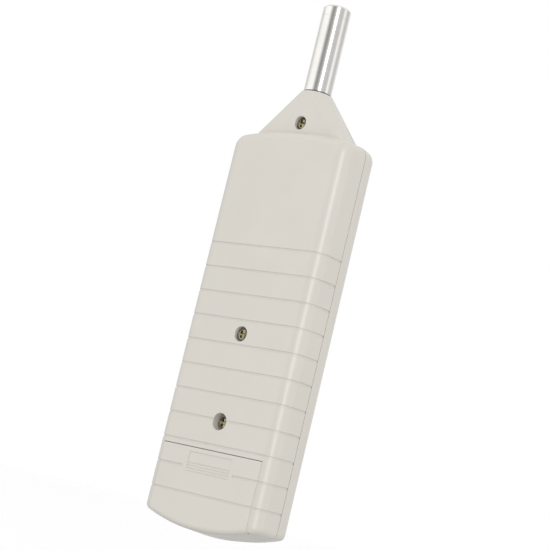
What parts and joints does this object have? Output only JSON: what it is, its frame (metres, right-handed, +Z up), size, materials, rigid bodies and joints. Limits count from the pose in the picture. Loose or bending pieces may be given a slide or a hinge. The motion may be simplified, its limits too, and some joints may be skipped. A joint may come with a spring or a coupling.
{
  "type": "sound level meter",
  "caption": "Hand-held sound level meter with a slim grooved case, a tapered neck carrying a half-inch microphone, a display, slide switches and a sliding battery door.",
  "frame": {"origin": "under the middle of the case, at the lowest point of its curved end", "axes": "+Z up along the microphone, +Y out of the grooved back, -Y out of the display face, +X towards the side with the output jack"},
  "size_m": [0.065, 0.025, 0.24],
  "materials": {
    "case": "satin, finely textured moulded ABS",
    "mic_metal": "polished nickel-plated brass",
    "screw": "zinc-plated steel",
    "rubber": "matt",
    "black_plastic": "matt moulded",
    "knob": "matt moulded, ribbed",
    "board": "green solder resist on glass-fibre laminate",
    "display": "reflective liquid-crystal glass",
    "window": "clear acrylic",
    "label": "satin printed film, no lettering",
    "tin_plate": "tin-plated steel",
    "capacitor_sleeve": "shrink sleeve",
    "trimmer": "moulded blue",
    "brass": "turned",
    "battery_can": "lacquered aluminium jacket, no lettering",
    "foam": "open-cell foam",
    "red_wire": "PVC insulation",
    "black_wire": "PVC insulation"
  },
  "bodies": {
    "case": {"rear_shell": "case", "front_shell": "case", "screw_low": "screw", "screw_mid": "screw", "screw_neck": "screw", "mic_gasket": "rubber", "mic_tube": "mic_metal", "mic_grid_cap": "mic_metal", "mic_capsule": "tin_plate", "mic_bush": "black_plastic", "preamp_board": "board", "lcd_glass": "display", "lcd_holder": "black_plastic", "zebra_upper": "rubber", "zebra_lower": "rubber", "lcd_window": "window", "label_plate": "label", "range_switch": "tin_plate", "response_switch": "tin_plate", "weighting_switch": "tin_plate", "main_board": "board", "shield_can": "tin_plate", "controller_chip": "black_plastic", "converter_chip": "black_plastic", "amp_chip_upper": "black_plastic", "amp_chip_lower": "black_plastic", "capacitor_1": "capacitor_sleeve", "capacitor_2": "capacitor_sleeve", "capacitor_3": "capacitor_sleeve", "crystal_can": "tin_plate", "board_screw_1": "screw", "board_screw_2": "screw", "board_screw_3": "screw", "board_screw_4": "screw", "output_jack": "black_plastic", "cal_trimmer": "trimmer", "battery": "battery_can", "battery_post_pos": "tin_plate", "battery_post_neg": "tin_plate", "battery_snap": "black_plastic", "battery_foam": "foam", "mic_lead_signal": "red_wire", "mic_lead_ground": "black_wire", "battery_lead_red": "red_wire", "battery_lead_black": "black_wire"},
    "battery_door": {"battery_door": "case"},
    "range_knob": {"range_knob": "knob"},
    "response_knob": {"response_knob": "knob"},
    "weighting_knob": {"weighting_knob": "knob"},
    "cal_rotor": {"cal_rotor": "brass"}
  },
  "joints": [
    {"name": "door_slide", "type": "slide", "parent": "case", "child": "battery_door", "axis": [0, 0, -1], "range_m": [0, 0.038]},
    {"name": "range_slide", "type": "slide", "parent": "case", "child": "range_knob", "axis": [0, 0, 1], "range_m": [0, 0.006]},
    {"name": "response_slide", "type": "slide", "parent": "case", "child": "response_knob", "axis": [0, 0, 1], "range_m": [0, 0.006]},
    {"name": "weighting_slide", "type": "slide", "parent": "case", "child": "weighting_knob", "axis": [0, 0, 1], "range_m": [0, 0.006]},
    {"name": "cal_turn", "type": "hinge", "parent": "case", "child": "cal_rotor", "pos_m": [0.0285, -0.0004, 0.122], "axis": [1, 0, 0], "range_deg": [-130, 130]}
  ]
}
